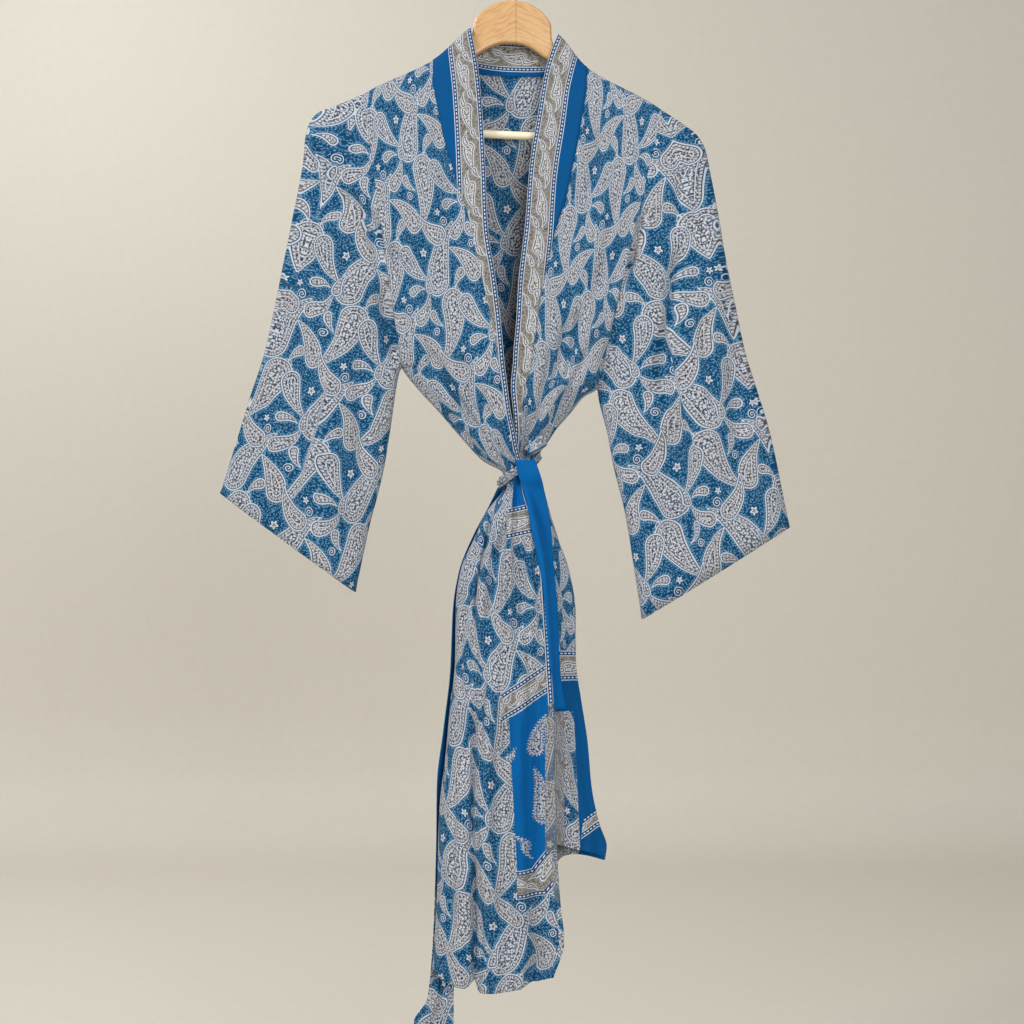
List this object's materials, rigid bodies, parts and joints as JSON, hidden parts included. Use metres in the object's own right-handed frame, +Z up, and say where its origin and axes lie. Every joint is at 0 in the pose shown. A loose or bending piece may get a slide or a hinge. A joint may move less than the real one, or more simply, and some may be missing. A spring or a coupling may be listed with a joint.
{
  "type": "kimono robe on a wooden clothes hanger",
  "caption": "Knee-length wrap robe with wide sleeves, neckband and tied belt, hanging from a flat wooden hanger with a trouser bar and a wire hook",
  "frame": {"origin": "top of the inside of the hanger hook, where the rail bears", "axes": "+Z up, the wearer faces -Y, the wearer's left is +X"},
  "size_m": [0.6712, 0.1164, 1.2954],
  "materials": {
    "print_cloth": "soft woven print, small and large paisleys on blue",
    "band_cloth": "soft woven print, taupe border with rows of small paisleys",
    "belt_print": "soft woven print, grey on blue",
    "belt_blue": "plain soft woven cloth",
    "pine": "clear satin lacquer",
    "steel_wire": "polished wire"
  },
  "bodies": {
    "root": {"back_top": "print_cloth", "back_skirt": "print_cloth", "front_right_top": "print_cloth", "front_right_skirt": "print_cloth", "front_left_top": "print_cloth", "front_left_skirt": "print_cloth", "sleeve_right": "print_cloth", "sleeve_left": "print_cloth", "neckband": "band_cloth", "belt_wrap": "belt_print", "belt_knot": "belt_print", "belt_tail_front": "belt_blue", "belt_tail_side": "belt_print", "hanger_arms": "pine", "hanger_bar": "pine", "hanger_hook": "steel_wire"}
  },
  "joints": []
}
